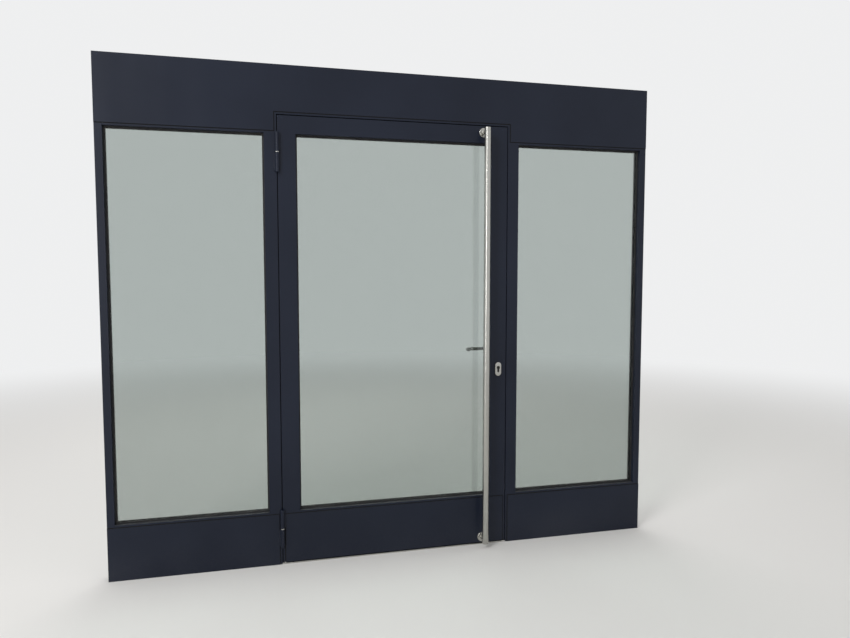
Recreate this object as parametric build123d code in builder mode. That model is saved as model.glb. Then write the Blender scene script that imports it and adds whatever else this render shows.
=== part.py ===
from build123d import *
import os

# A steel entrance set: an outward opening glass leaf between two glazed sidelights.
# X runs across the set from its middle, Y from the outside face to the inside face,
# Z up from the floor. All sizes are in millimetres.

# Overall size
frame_width = 2840
frame_height = 2489
profile_depth = 70
opening_width = 1202
opening_top = 2252
glass_bottom = 273

# Hollow steel profiles
wall = 2
corner_radius = 1.2
jamb_face = 35
mullion_face = 61
leaf_face = 88
lip_width = 15
lug_width = 15
layer_depth = 20

# Gaps around the leaf
leaf_gap = 4
leaf_lift = 12
threshold_height = 6
threshold_bevel = 3
groove_count = 5
groove_pitch = 10
groove_width = 3
groove_depth = 1

# Glazing
pane_thickness = 6
pane_space = 12
pane_cover = 10
outer_gasket = 6
inner_gasket = 4
gasket_cover = 8
gasket_show = 4
spacer_setback = 2
spacer_width = 6.5
bead_wall = 1.5
bead_joint = 0.1
block_length = 100
block_inset = 150

# Cladding sheets over the header and the kick zone
sheet = 2
sheet_margin = 13

# Rebate seal and bottom seal
seal_gap = 0.3
seal_reach = 11
seal_depth = 7
seal_lip = 2
seal_base = 3
sweep_width = 12
sweep_base = 1.5
sweep_fin = 3
sweep_inset = 4

# Hinges
hinge_low = 188
hinge_from_top = 179
hinge_length = 194
barrel_radius = 10
barrel_standoff = 10.5
barrel_chamfer = 1
pin_radius = 5.5
pin_fit = 0.05
pin_floor = 6
washer_thickness = 4
washer_play = 0.3
hinge_lug_width = 11
hinge_lug_depth = 8
hinge_lug_start = 3
hinge_lug_inset = 5

# Pull bar
bar_setback = 45
bar_bottom = 27
bar_from_top = 19
bar_radius = 17
bar_wall = 2
bar_standoff = 65
bar_inset = 16
neck_radius = 10
bar_rosette_radius = 25
bar_rosette_thickness = 7
cap_thickness = 3
cap_spigot = 8

# Lock
backset = 30
plug_height = 970
spindle_rise = 92
lock_plane = 3
case_depth = 51
case_thickness = 16
case_wall = 1.5
case_below_plug = 65
case_above_spindle = 63
faceplate_width = 22
faceplate_overhang = 15
tab_thickness = 4
tab_length = 24
tab_setback = 1
part_play = 0.3

# Latch bolt, at rest with its head out
latch_rise = 30
latch_height = 32
latch_thickness = 12
latch_out = 12
latch_nose = 2
latch_shoulder = 1
latch_head_length = 28
latch_tail_length = 23
latch_tail_height = 16
tail_thickness = 5
hook_width = 4
hook_drop = 6

# Dead bolt, at rest drawn in
dead_rise = 45
dead_height = 34
dead_thickness = 11
dead_length = 34
dead_throw = 20
talon_width = 4
talon_space = 12
talon_drop = 12

# Follower, spindle and lever
follower_radius = 12
journal_radius = 8
journal_fit = 0.05
journal_proud = 1
arm_reach = 20
arm_width = 6
spindle_size = 8
spindle_embed = 30
lever_radius = 10
lever_gap = 0.5
lever_projection = 50
lever_length = 140
lever_return = 37
lever_bend = 16

# Profile cylinder
housing_radius = 8.5
housing_height = 33
housing_web = 10
housing_proud = 1
plug_radius = 7
plug_fit = 0.05
cam_reach = 15
cam_width = 8
cam_thickness = 9.4
keyway_width = 2.4
keyway_height = 9
keyway_depth = 20

# Oval plates around the cylinder and the lever
plate_width = 35
plate_height = 75
plate_thickness = 9
plate_bevel = 1.5

# Strike keep on the lock mullion
keep_thickness = 14
keep_end = 14
keep_lead = 3
pocket_play = 1

# Countersunk screws
screw_radius = 2.5
screw_play = 0.1
screw_head_radius = 4.6
keep_screw_length = 18
case_screw_length = 6
cylinder_screw_length = 35

# Holes for the wall fixings in the jambs
fixing_radius = 5.5
fixing_low = 300
fixing_from_top = 389
fixing_count = 4

# Levels through the depth, from outside to inside
outside = -profile_depth / 2
inside = profile_depth / 2
lip_back = outside + layer_depth
lug_front = inside - layer_depth
levels = (outside, lip_back, lug_front, inside)
pane_front = lip_back + outer_gasket
pane_back = pane_front + 2 * pane_thickness + pane_space
bead_front = pane_back + inner_gasket

seal_front = lip_back + seal_gap
seal_back = seal_front + seal_depth

# Positions across the set
frame_edge = frame_width / 2
frame_view = frame_edge - jamb_face
frame_tube = frame_view + lip_width
opening_edge = opening_width / 2
mullion_view = opening_edge + mullion_face
mullion_tube = mullion_view - lip_width
lug_edge = opening_edge - lug_width
leaf_edge = opening_edge - leaf_gap
leaf_side = leaf_edge - lug_width
leaf_view = leaf_edge - leaf_face
leaf_tube = leaf_view + lip_width

# Heights
leaf_top = opening_top - leaf_gap
glass_top = leaf_top - leaf_face
frame_tube_width = mullion_face - lip_width
leaf_tube_width = leaf_face - lip_width - lug_width
head_view = frame_height - jamb_face
head_tube = head_view + lip_width
bead_top = glass_top + lip_width
sill_top = glass_bottom - lip_width
transom_top = bead_top + frame_tube_width
door_transom_top = opening_top + frame_tube_width
frame_sill = sill_top - frame_tube_width
leaf_sill = sill_top - leaf_tube_width
leaf_base_top = leaf_lift + leaf_tube_width

# Ends of the rails in the three layers: beside a sidelight, then beside and in the leaf
right_bay = ((mullion_view, frame_view), (mullion_tube, frame_tube), (mullion_tube, frame_tube))
door_bay = ((-opening_edge, opening_edge), (-opening_edge, opening_edge), (-lug_edge, lug_edge))
leaf_bay = ((-leaf_view, leaf_view), (-leaf_tube, leaf_tube), (-leaf_tube, leaf_tube))

# Daylight openings of the three glass units
right_view = ((mullion_view, frame_view), (glass_bottom, glass_top))
left_view = ((-frame_view, -mullion_view), (glass_bottom, glass_top))
door_view = ((-leaf_view, leaf_view), (glass_bottom, glass_top))

# Hinge positions
hinge_x = -(leaf_edge + opening_edge) / 2
hinge_y = outside - barrel_standoff
hinge_heights = (hinge_low, leaf_top - hinge_from_top)

# Lock positions
lock_x = leaf_side - backset
web_drop = housing_height - housing_radius - housing_web / 2
spindle_height = plug_height + spindle_rise
latch_middle = spindle_height + latch_rise
dead_middle = plug_height + dead_rise
bolt_heads = ((latch_middle, latch_thickness, latch_height), (dead_middle, dead_thickness, dead_height))
cylinder_screw_height = plug_height - web_drop
case_bottom = plug_height - case_below_plug
case_top = spindle_height + case_above_spindle
case_back = leaf_side - wall - case_depth
faceplate_bottom = case_bottom - faceplate_overhang
faceplate_top = case_top + faceplate_overhang
cam_room = cam_reach + 2 * part_play


def across(x):
    """Upright plane that looks toward -X; its local axes are Z and Y."""
    return Plane(origin=(x, 0, 0), x_dir=(0, 0, 1), z_dir=(-1, 0, 0))


def outward(x, y, z):
    """Upright plane at a point that looks out of the door; its local axes are X and Z."""
    return Plane(origin=(x, y, z), x_dir=(1, 0, 0), z_dir=(0, -1, 0))


def mitre(x, z):
    """Plane of a mitred corner, facing up and toward the middle."""
    return Plane(origin=(x, 0, z), x_dir=(0, 1, 0), z_dir=(-x / abs(x), 0, 1))


def span(limits):
    """Lowest and highest of the limits in the three layers."""
    return min(low for low, high in limits), max(high for low, high in limits)


def layered(limits):
    """Three rectangles across the depth, one in each layer."""
    for (low, high), front, back in zip(limits, levels, levels[1:]):
        with Locations(((low + high) / 2, (front + back) / 2)):
            Rectangle(high - low, back - front)


def tube_outline(width, depth, thickness):
    """Outline of a plain square tube."""
    Rectangle(width, depth)
    Rectangle(width - 2 * thickness, depth - 2 * thickness, mode=Mode.SUBTRACT)


def hollow_bar(layers, ends, upright=False, rounded=True):
    """A hollow profile along X or Z, cut in each layer to butt against its neighbours."""
    start, finish = span(ends)
    near, far = span(layers)
    along = Plane.XY.offset(start) if upright else across(finish)
    beside = across(far) if upright else Plane.XY.offset(near)
    with BuildPart() as profile:
        with BuildSketch(along) as section:
            layered(layers)
            hollow = offset(amount=-wall, kind=Kind.INTERSECTION, mode=Mode.PRIVATE)
            if rounded:
                rows = section.vertices().group_by(Axis.Y)
                fillet(rows[0] + rows[-1], corner_radius)
            add(hollow, mode=Mode.SUBTRACT)
        extrude(amount=finish - start)
        if len(set(ends)) > 1:
            with BuildSketch(beside):
                layered(ends)
            extrude(amount=far - near, mode=Mode.INTERSECT)
    return profile.part


def filler(plan, heights):
    """A board between the profiles, stepped with their lips and lugs across X and in height."""
    bottom, top = span(heights)
    near, far = span(plan)
    with BuildPart() as board:
        with BuildSketch(Plane.XY.offset(bottom)):
            layered(plan)
        extrude(amount=top - bottom)
        if len(set(heights)) > 1:
            with BuildSketch(across(far)):
                layered(heights)
            extrude(amount=far - near, mode=Mode.INTERSECT)
    return board.part


def ring(view, grow, shrink, front, back):
    """A rectangular ring around a daylight opening."""
    (left, right), (bottom, top) = view
    with BuildSketch(outward((left + right) / 2, back, (bottom + top) / 2)) as outline:
        Rectangle(right - left + 2 * grow, top - bottom + 2 * grow)
        Rectangle(right - left - 2 * shrink, top - bottom - 2 * shrink, mode=Mode.SUBTRACT)
    extrude(outline.sketch, amount=back - front)


def glass_unit(view):
    """Two panes with a space between them."""
    (left, right), (bottom, top) = view
    for back in (pane_front + pane_thickness, pane_back):
        with BuildSketch(outward((left + right) / 2, back, (bottom + top) / 2)) as pane:
            Rectangle(right - left + 2 * pane_cover, top - bottom + 2 * pane_cover)
        extrude(pane.sketch, amount=pane_thickness)


def gasket_pair(view):
    """The outer and the inner gasket around a glass unit."""
    ring(view, gasket_cover, gasket_show, lip_back, pane_front)
    ring(view, gasket_cover, gasket_show, pane_back, bead_front)


def spacer_frame(view):
    """The frame that closes the space between the panes, set back from their edges."""
    out = pane_cover - spacer_setback
    ring(view, out, spacer_width - out, pane_front + pane_thickness, pane_back - pane_thickness)


def beads(view):
    """Four hollow glazing beads, the upright ones over the full height."""
    (left, right), (bottom, top) = view
    middle = (bead_front + inside) / 2
    with BuildSketch(Plane.XY.offset(bottom - lip_width)) as uprights:
        for x in (left - lip_width / 2, right + lip_width / 2):
            with Locations((x, middle)):
                tube_outline(lip_width, inside - bead_front, bead_wall)
    extrude(uprights.sketch, amount=top - bottom + 2 * lip_width)
    with BuildSketch(across(right - bead_joint)) as crossbars:
        for z in (bottom - lip_width / 2, top + lip_width / 2):
            with Locations((z, middle)):
                tube_outline(lip_width, inside - bead_front, bead_wall)
    extrude(crossbars.sketch, amount=right - left - 2 * bead_joint)


def setting_blocks(view):
    """Two blocks that carry a glass unit on the rail below it."""
    (left, right), (bottom, top) = view
    with BuildSketch(Plane.XY.offset(sill_top)) as pair:
        with Locations(((left + right) / 2, (pane_front + pane_back) / 2)):
            with GridLocations(right - left - 2 * block_inset, 0, 2, 1):
                Rectangle(block_length, pane_back - pane_front)
    extrude(pair.sketch, amount=bottom - pane_cover - sill_top)


def face_sheet(near, far, bottom, top, seat):
    """A flat sheet on the outer or the inner face."""
    with BuildSketch(outward((near + far) / 2, seat, (bottom + top) / 2)) as outline:
        Rectangle(far - near, top - bottom)
    extrude(outline.sketch, amount=sheet if seat < 0 else -sheet)


def header_outline(step_x, step_z, low_z):
    """Corners of the right half of a header sheet, which steps down beside the leaf."""
    return [(0, step_z), (step_x, step_z), (step_x, low_z), (frame_edge, low_z),
            (frame_edge, frame_height), (0, frame_height)]


def seal_outline(seat):
    """Corners of the rebate seal: its foot on the seat and the lip that stands out from it."""
    foot, tip = seat - seal_base, seat - seal_reach
    return [(seat, seal_front), (seat, seal_back), (foot, seal_back), (foot, seal_front + seal_lip),
            (tip, seal_front + seal_lip), (tip, seal_front)]


def housing_outline(grow):
    """Outline of a profile cylinder, round above with a narrow web below."""
    Circle(housing_radius + grow)
    with Locations((0, -web_drop / 2)):
        Rectangle(housing_web + 2 * grow, web_drop)
    with Locations((0, -web_drop)):
        Circle(housing_web / 2 + grow)


def faceplate_outline():
    """Outline of the lock's faceplate in the edge of the leaf."""
    with Locations((lock_plane, (faceplate_bottom + faceplate_top) / 2)):
        Rectangle(faceplate_width, faceplate_top - faceplate_bottom)


def bolt_openings(play):
    """Openings for the heads of both bolts, in the edge of the leaf or in the mullion."""
    for z, thickness, height in bolt_heads:
        with Locations((lock_plane, z)):
            Rectangle(thickness + 2 * play, height + 2 * play)


def screw(length):
    """A countersunk screw whose head top lies at the origin and points along +Z."""
    head_radius = screw_head_radius - screw_play
    with BuildPart() as fastener:
        with BuildSketch(Plane.XZ):
            with BuildLine():
                Polyline((0, 0), (head_radius, 0), (screw_radius, screw_radius - head_radius),
                         (screw_radius, -length), (0, -length), close=True)
            make_face()
        revolve(axis=Axis.Z)
    return fastener.part


def knuckle(side):
    """A hinge knuckle with its weld lug, on its own axis; side is -1 on the frame and 1 on the leaf."""
    with BuildPart() as half:
        with BuildSketch():
            Circle(barrel_radius)
        extrude(amount=knuckle_length)
        ends = half.edges().filter_by(GeomType.CIRCLE).sort_by(Axis.Z)
        chamfer(ends[0] if side < 0 else ends[-1], barrel_chamfer)
        with BuildSketch(Plane.XY.offset(hinge_lug_inset)):
            lug_x = side * (hinge_lug_start + hinge_lug_width / 2)
            with Locations((lug_x, barrel_standoff - hinge_lug_depth / 2)):
                Rectangle(hinge_lug_width, hinge_lug_depth)
        extrude(amount=knuckle_length - 2 * hinge_lug_inset)
        with BuildSketch(Plane.XY.offset(pin_floor if side < 0 else 0)):
            Circle(pin_radius + pin_fit)
        extrude(amount=knuckle_length - pin_floor, mode=Mode.SUBTRACT)
    return half.part


# Outer frame: jambs and head of one profile, mitred at the corners
jamb_layers = ((frame_view, frame_edge), (frame_tube, frame_edge), (frame_tube, frame_edge))
head_layers = ((head_view, frame_height), (head_tube, frame_height), (head_tube, frame_height))
fixing_spacing = (frame_height - fixing_low - fixing_from_top) / (fixing_count - 1)
fixing_middle = (frame_height + fixing_low - fixing_from_top) / 2
jamb_bar = hollow_bar(jamb_layers, ((0, frame_height),) * 3, upright=True)
head_bar = hollow_bar(head_layers, ((-frame_edge, frame_edge),) * 3)

with BuildPart() as right_jamb:
    add(jamb_bar)
    split(bisect_by=mitre(frame_edge, frame_height), keep=Keep.BOTTOM)
    with Locations(Plane(origin=(frame_edge, 0, fixing_middle), x_dir=(0, 1, 0), z_dir=(1, 0, 0))):
        with GridLocations(0, fixing_spacing, 1, fixing_count):
            Hole(fixing_radius, jamb_face)

with BuildPart() as left_jamb:
    mirror(right_jamb.part, about=Plane.YZ)

with BuildPart() as frame_head:
    add(head_bar)
    for corner in (-frame_edge, frame_edge):
        split(bisect_by=mitre(corner, frame_height), keep=Keep.TOP)

# Mullions: a glazing lip toward the sidelight, a stop lug toward the leaf
mullion_layers = ((opening_edge, mullion_view), (opening_edge, mullion_tube), (lug_edge, mullion_tube))
mullion_bar = hollow_bar(mullion_layers, ((0, head_view), (0, head_tube), (0, head_tube)), upright=True)
keep_bottom = dead_middle - dead_height / 2 - keep_end
keep_top = latch_middle + latch_height / 2 + keep_end
keep_face = opening_edge - keep_thickness
keep_screw_heights = (keep_bottom + keep_end / 2, keep_top - keep_end / 2)

with BuildPart() as hinge_mullion:
    mirror(mullion_bar, about=Plane.YZ)

with BuildPart() as lock_mullion:
    add(mullion_bar)
    with BuildSketch(Plane.YZ.offset(opening_edge)):
        bolt_openings(pocket_play)
    extrude(amount=wall, mode=Mode.SUBTRACT)
    for z in keep_screw_heights:
        with Locations(Plane(origin=(opening_edge, lock_plane, z), z_dir=(-1, 0, 0))):
            Hole(screw_radius + screw_play, 2 * wall)

# Rails of the frame, square cut between the posts
transom_tube = (bead_top, transom_top)
lintel = (opening_top, door_transom_top)
sill_tube = (frame_sill, sill_top)
transom_bar = hollow_bar(((glass_top, transom_top), transom_tube, transom_tube), right_bay)
lintel_bar = hollow_bar((lintel, lintel, (opening_top - lug_width, door_transom_top)), door_bay)
sill_bar = hollow_bar(((frame_sill, glass_bottom), sill_tube, sill_tube), right_bay)
base_bar = hollow_bar(((0, frame_tube_width),) * 3, right_bay, rounded=False)

with BuildPart() as right_transom:
    add(transom_bar)

with BuildPart() as left_transom:
    mirror(transom_bar, about=Plane.YZ)

with BuildPart() as door_transom:
    add(lintel_bar)

with BuildPart() as sill_rails:
    add(sill_bar)
    mirror(about=Plane.YZ)

with BuildPart() as base_rails:
    add(base_bar)
    mirror(about=Plane.YZ)

with BuildPart() as threshold:
    with BuildSketch():
        layered(door_bay)
    extrude(amount=threshold_height)
    tread_edges = threshold.edges().filter_by(Axis.X).group_by(Axis.Z)[-1]
    chamfer(tread_edges.sort_by(Axis.Y)[0], threshold_bevel)
    with BuildSketch(Plane.XY.offset(threshold_height)):
        with GridLocations(0, groove_pitch, 1, groove_count):
            Rectangle(opening_width, groove_width)
    extrude(amount=-groove_depth, mode=Mode.SUBTRACT)

# Boards and sheets that close the header and the kick zone
header_tops = (head_view, head_tube, head_tube)
side_board = filler(right_bay, [(transom_top, top) for top in header_tops])
middle_board = filler(door_bay, [(door_transom_top, top) for top in header_tops])
kick_board = filler(right_bay, ((frame_tube_width, frame_sill),) * 3)

with BuildPart() as frame_cores:
    add(side_board)
    add(kick_board)
    mirror(about=Plane.YZ)
    add(middle_board)

with BuildPart() as header_sheet_outer:
    with BuildSketch(outward(0, outside, 0)):
        with BuildLine():
            Polyline(header_outline(opening_edge + sheet_margin, opening_top + sheet_margin,
                                    glass_top + sheet_margin), close=True)
        make_face()
        mirror(about=Plane.YZ)
    extrude(amount=sheet)

with BuildPart() as header_sheet_inner:
    with BuildSketch(outward(0, inside, 0)):
        with BuildLine():
            Polyline(header_outline(lug_edge + sheet_margin, opening_top - lug_width + sheet_margin,
                                    bead_top + sheet_margin), close=True)
        make_face()
        mirror(about=Plane.YZ)
    extrude(amount=-sheet)

with BuildPart() as kick_sheets_outer:
    face_sheet(opening_edge + sheet_margin, frame_edge, 0, glass_bottom - sheet_margin, outside)
    mirror(about=Plane.YZ)

with BuildPart() as kick_sheets_inner:
    face_sheet(lug_edge + sheet_margin, frame_edge, 0, sill_top - sheet_margin, inside)
    mirror(about=Plane.YZ)

# Sidelight glazing
with BuildPart() as left_glass:
    glass_unit(left_view)

with BuildPart() as right_glass:
    glass_unit(right_view)

with BuildPart() as sidelight_spacers:
    spacer_frame(left_view)
    spacer_frame(right_view)

with BuildPart() as sidelight_gaskets:
    gasket_pair(left_view)
    gasket_pair(right_view)

with BuildPart() as sidelight_beads:
    beads(left_view)
    beads(right_view)

with BuildPart() as sidelight_blocks:
    setting_blocks(left_view)
    setting_blocks(right_view)

# Rebate seal, a lip behind the leaf's lug on both sides and above
with BuildPart() as frame_seal:
    with BuildSketch(Plane.XY.offset(threshold_height)):
        with BuildLine():
            Polyline(seal_outline(opening_edge), close=True)
        make_face()
    extrude(amount=opening_top - threshold_height)
    mirror(about=Plane.YZ)
    with BuildSketch(across(opening_edge - seal_reach)):
        with BuildLine():
            Polyline(seal_outline(opening_top), close=True)
        make_face()
    extrude(amount=2 * (opening_edge - seal_reach))

# Strike keep, a block with a pocket for each bolt
with BuildPart() as strike_keep:
    with BuildSketch(Plane.XY.offset(keep_bottom)) as keep_plan:
        with Locations(((keep_face + opening_edge) / 2, (seal_back + lug_front) / 2)):
            Rectangle(keep_thickness, lug_front - seal_back)
        chamfer(keep_plan.vertices().sort_by(Axis.X)[:2].sort_by(Axis.Y)[0], keep_lead)
    extrude(amount=keep_top - keep_bottom)
    with BuildSketch(Plane.YZ.offset(keep_face)):
        bolt_openings(pocket_play)
    extrude(amount=keep_thickness, mode=Mode.SUBTRACT)
    for z in keep_screw_heights:
        with Locations(Plane(origin=(keep_face, lock_plane, z), z_dir=(-1, 0, 0))):
            CounterSinkHole(screw_radius + screw_play, screw_head_radius, keep_thickness)

keep_screw = screw(keep_screw_length)

with BuildPart() as keep_screws:
    for z in keep_screw_heights:
        with Locations(Plane(origin=(keep_face + screw_play, lock_plane, z), z_dir=(-1, 0, 0))):
            add(keep_screw)

# Hinges: a lower knuckle and pin on the frame, a washer, an upper knuckle on the leaf
knuckle_length = (hinge_length - washer_thickness) / 2
frame_knuckle = knuckle(-1)
leaf_knuckle = knuckle(1)

with BuildPart() as frame_knuckles:
    for middle in hinge_heights:
        with Locations((hinge_x, hinge_y, middle - hinge_length / 2)):
            add(frame_knuckle)

with BuildPart() as leaf_knuckles:
    for middle in hinge_heights:
        with Locations((hinge_x, hinge_y, middle + washer_thickness / 2)):
            add(leaf_knuckle)

with BuildPart() as hinge_pins:
    for middle in hinge_heights:
        with BuildSketch(Plane(origin=(hinge_x, hinge_y, middle - hinge_length / 2 + pin_floor))):
            Circle(pin_radius)
        extrude(amount=hinge_length - 2 * pin_floor - part_play)

with BuildPart() as hinge_washers:
    for middle in hinge_heights:
        with BuildSketch(Plane(origin=(hinge_x, hinge_y, middle - washer_thickness / 2))):
            Circle(barrel_radius)
            Circle(pin_radius + washer_play, mode=Mode.SUBTRACT)
        extrude(amount=washer_thickness)

# Leaf frame: stiles and top rail of one profile, mitred at the upper corners
stile_layers = ((leaf_view, leaf_edge), (leaf_tube, leaf_side), (leaf_tube, leaf_side))
top_tube = (bead_top, leaf_top - lug_width)
leaf_sill_tube = (leaf_sill, sill_top)
stile_bar = hollow_bar(stile_layers, ((leaf_lift, leaf_top),) * 3, upright=True)
top_bar = hollow_bar(((glass_top, leaf_top), top_tube, top_tube), ((-leaf_edge, leaf_edge),) * 3)
glass_bar = hollow_bar(((leaf_sill, glass_bottom), leaf_sill_tube, leaf_sill_tube), leaf_bay)
leaf_base_bar = hollow_bar(((leaf_lift, leaf_base_top),) * 3, leaf_bay, rounded=False)
kick_core = filler(leaf_bay, ((leaf_base_top, leaf_sill),) * 3)

with BuildPart() as hinge_stile:
    mirror(stile_bar, about=Plane.YZ)
    split(bisect_by=mitre(-leaf_edge, leaf_top), keep=Keep.BOTTOM)

with BuildPart() as lock_stile:
    add(stile_bar)
    split(bisect_by=mitre(leaf_edge, leaf_top), keep=Keep.BOTTOM)
    with BuildSketch(Plane.YZ.offset(leaf_side)):
        faceplate_outline()
    extrude(amount=-wall, mode=Mode.SUBTRACT)
    with BuildSketch(outward(lock_x, inside, plug_height)):
        housing_outline(part_play)
    extrude(amount=profile_depth, mode=Mode.SUBTRACT)
    with BuildSketch(outward(lock_x, inside, spindle_height)):
        Circle(journal_radius)
    extrude(amount=wall, mode=Mode.SUBTRACT)

with BuildPart() as leaf_top_rail:
    add(top_bar)
    for corner in (-leaf_edge, leaf_edge):
        split(bisect_by=mitre(corner, leaf_top), keep=Keep.TOP)

with BuildPart() as leaf_glass_rail:
    add(glass_bar)

with BuildPart() as leaf_bottom_rail:
    add(leaf_base_bar)

with BuildPart() as leaf_kick_core:
    add(kick_core)

with BuildPart() as leaf_kick_sheet_outer:
    sheet_edge = leaf_edge - sheet_margin
    face_sheet(-sheet_edge, sheet_edge, leaf_lift, glass_bottom - sheet_margin, outside)

with BuildPart() as leaf_kick_sheet_inner:
    inner_edge = leaf_side - sheet_margin
    face_sheet(-inner_edge, inner_edge, leaf_lift, sill_top - sheet_margin, inside)

# Leaf glazing
with BuildPart() as leaf_glass:
    glass_unit(door_view)

with BuildPart() as leaf_spacer:
    spacer_frame(door_view)

with BuildPart() as leaf_gaskets:
    gasket_pair(door_view)

with BuildPart() as leaf_beads:
    beads(door_view)

with BuildPart() as leaf_blocks:
    setting_blocks(door_view)

# Bottom seal, a fin under the bottom rail that clears the threshold
with BuildPart() as bottom_seal:
    fin_drop = leaf_lift - threshold_height - seal_gap
    with BuildSketch(across(leaf_tube - sweep_inset)):
        with Locations((leaf_lift - sweep_base / 2, 0)):
            Rectangle(sweep_base, sweep_width)
        with Locations((leaf_lift - fin_drop / 2, 0)):
            Rectangle(fin_drop, sweep_fin)
    extrude(amount=2 * (leaf_tube - sweep_inset))

# Pull bar, a round tube on two necks
bar_x = leaf_view - bar_setback
bar_y = outside - bar_standoff
bar_top = leaf_top - bar_from_top
tube_length = bar_top - bar_bottom - 2 * cap_thickness
necks = ((bar_bottom + bar_inset, outside - sheet), (bar_top - bar_inset, outside))

with BuildPart() as pull_bar:
    with BuildSketch(Plane(origin=(bar_x, bar_y, bar_bottom + cap_thickness))):
        Circle(bar_radius)
    extrude(amount=tube_length)
    for z, seat in necks:
        with BuildSketch(outward(bar_x, seat, z)):
            Circle(neck_radius)
        extrude(amount=seat - bar_y)
    with BuildSketch(Plane(origin=(bar_x, bar_y, bar_bottom + cap_thickness))):
        Circle(bar_radius - bar_wall)
    extrude(amount=tube_length, mode=Mode.SUBTRACT)

with BuildPart() as bar_caps:
    for end, into in ((bar_bottom, 1), (bar_top, -1)):
        with BuildSketch(Plane(origin=(bar_x, bar_y, end), z_dir=(0, 0, into))):
            Circle(bar_radius)
        extrude(amount=cap_thickness)
        with BuildSketch(Plane(origin=(bar_x, bar_y, end + into * cap_thickness), z_dir=(0, 0, into))):
            Circle(bar_radius - bar_wall - part_play)
        extrude(amount=cap_spigot)

with BuildPart() as bar_rosettes:
    for z, seat in necks:
        with BuildSketch(outward(bar_x, seat, z)):
            Circle(bar_rosette_radius)
        extrude(amount=bar_rosette_thickness)
        front_rim = bar_rosettes.edges(Select.LAST).filter_by(GeomType.CIRCLE).sort_by(Axis.Y)[0]
        chamfer(front_rim, plate_bevel)
        with BuildSketch(outward(bar_x, seat, z)):
            Circle(neck_radius + part_play)
        extrude(amount=bar_rosette_thickness, mode=Mode.SUBTRACT)

# Lock case, a sheet steel box open toward the edge of the leaf
case_front = leaf_side - wall

with BuildPart() as lock_case:
    with BuildSketch(Plane.YZ.offset(case_back)):
        with Locations((lock_plane, (case_bottom + case_top) / 2)):
            Rectangle(case_thickness, case_top - case_bottom)
    extrude(amount=case_front - case_back)
    offset(amount=-case_wall, openings=lock_case.faces().sort_by(Axis.X)[-1], kind=Kind.INTERSECTION)
    with BuildSketch(outward(lock_x, inside, plug_height)):
        housing_outline(part_play)
    extrude(amount=profile_depth, mode=Mode.SUBTRACT)
    with BuildSketch(outward(lock_x, inside, spindle_height)):
        Circle(journal_radius + journal_fit)
    extrude(amount=profile_depth, mode=Mode.SUBTRACT)

# Faceplate, held by a screwed tab behind each end; a long screw reaches the cylinder
face_screw_heights = (faceplate_bottom + faceplate_overhang / 2, faceplate_top - faceplate_overhang / 2)
tab_shift = faceplate_overhang - tab_setback - tab_length / 2

with BuildPart() as lock_faceplate:
    with BuildSketch(Plane.YZ.offset(case_front)):
        faceplate_outline()
    extrude(amount=wall)
    with BuildSketch(Plane.YZ.offset(case_front)):
        bolt_openings(part_play)
    extrude(amount=wall, mode=Mode.SUBTRACT)
    for z in (*face_screw_heights, cylinder_screw_height):
        with Locations(Plane(origin=(leaf_side, lock_plane, z), z_dir=(1, 0, 0))):
            CounterSinkHole(screw_radius + screw_play, screw_head_radius, wall)

with BuildPart() as lock_tabs:
    with BuildSketch(Plane.YZ.offset(case_front)):
        for z in (faceplate_bottom + tab_shift, faceplate_top - tab_shift):
            with Locations((lock_plane, z)):
                Rectangle(faceplate_width, tab_length)
    extrude(amount=-tab_thickness)
    for z in face_screw_heights:
        with Locations(Plane(origin=(case_front, lock_plane, z), z_dir=(1, 0, 0))):
            Hole(screw_radius + screw_play, tab_thickness)

case_screw = screw(case_screw_length)
cylinder_screw = screw(cylinder_screw_length)

with BuildPart() as lock_screws:
    for z in face_screw_heights:
        with Locations(Plane(origin=(leaf_side - screw_play, lock_plane, z), z_dir=(1, 0, 0))):
            add(case_screw)
    screw_seat = Plane(origin=(leaf_side - screw_play, lock_plane, cylinder_screw_height), z_dir=(1, 0, 0))
    with Locations(screw_seat):
        add(cylinder_screw)

# Profile cylinder: a fixed housing, and a plug with its cam that the key turns
cylinder_end = inside + plate_thickness + housing_proud

with BuildPart() as cylinder_housing:
    with BuildSketch(outward(lock_x, cylinder_end, plug_height)):
        housing_outline(0)
        Circle(plug_radius + plug_fit, mode=Mode.SUBTRACT)
    extrude(amount=2 * cylinder_end)
    with BuildSketch(outward(lock_x, lock_plane, plug_height)):
        with Locations((0, (housing_radius - cam_room) / 2)):
            Rectangle(2 * housing_radius, housing_radius + cam_room)
    extrude(amount=cam_thickness / 2 + part_play, both=True, mode=Mode.SUBTRACT)
    web_side = Plane(origin=(lock_x + housing_web / 2, lock_plane, cylinder_screw_height), z_dir=(1, 0, 0))
    with Locations(web_side):
        Hole(screw_radius + screw_play, housing_web)

with BuildPart() as cylinder_plug:
    with BuildSketch(outward(lock_x, cylinder_end, plug_height)):
        Circle(plug_radius)
    extrude(amount=2 * cylinder_end)
    with BuildSketch(outward(lock_x, lock_plane + cam_thickness / 2, plug_height)):
        Circle(housing_radius)
        with Locations((0, -cam_reach / 2)):
            Rectangle(cam_width, cam_reach)
    extrude(amount=cam_thickness)
    for face_y, into in ((cylinder_end, 1), (-cylinder_end, -1)):
        with BuildSketch(outward(lock_x, face_y, plug_height)):
            Rectangle(keyway_width, keyway_height)
        extrude(amount=into * keyway_depth, mode=Mode.SUBTRACT)

# Oval plates: one each side around the cylinder, one inside around the lever
plate_middle = plug_height + housing_radius - housing_height / 2

with BuildPart() as oval_plate:
    with BuildSketch(outward(0, inside, 0)):
        SlotOverall(plate_height, plate_width, rotation=90)
    extrude(amount=-plate_thickness)
    chamfer(oval_plate.faces().sort_by(Axis.Y)[-1].edges(), plate_bevel)

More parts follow.
